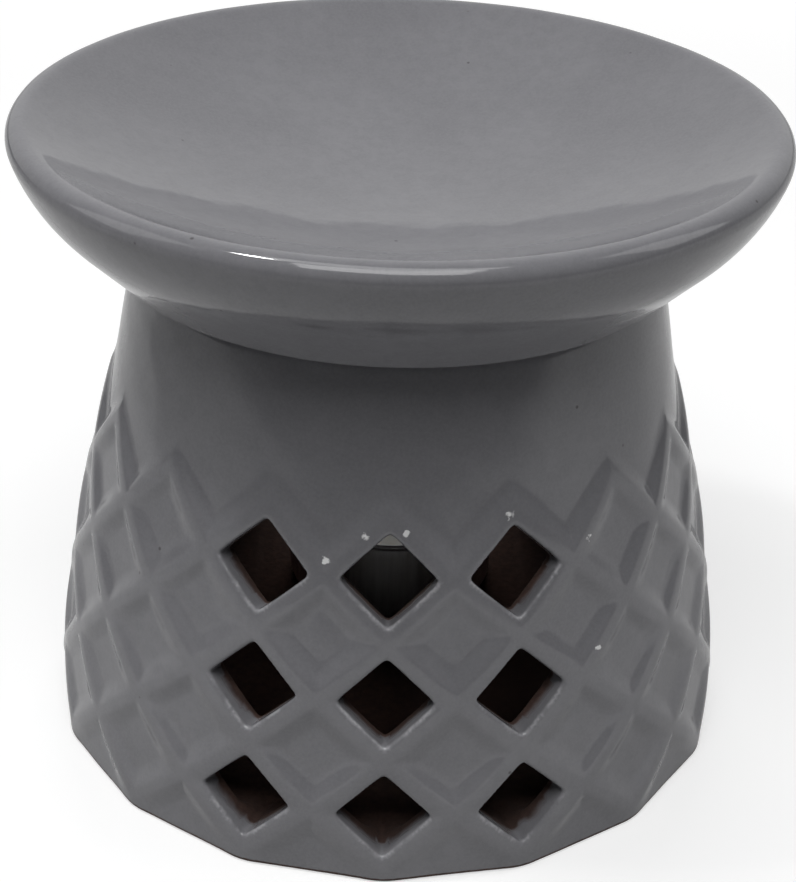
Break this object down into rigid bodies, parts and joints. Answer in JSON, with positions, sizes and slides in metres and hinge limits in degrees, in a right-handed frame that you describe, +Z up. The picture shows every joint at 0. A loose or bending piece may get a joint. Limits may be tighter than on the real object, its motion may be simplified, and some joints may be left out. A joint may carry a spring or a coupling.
{
  "type": "essential oil burner",
  "caption": "Round glazed ceramic oil burner: a flared body with a raised diamond lattice and diamond holes, a shallow lift-off dish and a tealight that slides out at the back.",
  "frame": {"origin": "middle of the burner, on the surface that it stands on", "axes": "+Z up, through the middle of the dish; the pierced front faces -Y and the arched opening faces +Y"},
  "size_m": [0.12, 0.12, 0.1044],
  "materials": {
    "glaze": "glossy mid-grey glaze, bare red-brown clay on the foot and inside",
    "cup_foil": "pressed foil",
    "wax": "set white wax",
    "wick": "waxed cotton braid",
    "tinplate": "pressed tinplate"
  },
  "bodies": {
    "body": {"burner_body": "glaze"},
    "dish": {"dish": "glaze"},
    "tealight": {"tealight_cup": "cup_foil", "tealight_wax": "wax", "wick": "wick", "wick_sustainer": "tinplate"}
  },
  "joints": [
    {"name": "dish_lift", "type": "slide", "parent": "body", "child": "dish", "axis": [0, 0, 1], "range_m": [0, 0.06]},
    {"name": "tealight_slide", "type": "slide", "parent": "body", "child": "tealight", "axis": [0, 1, 0], "range_m": [0, 0.07]}
  ]
}
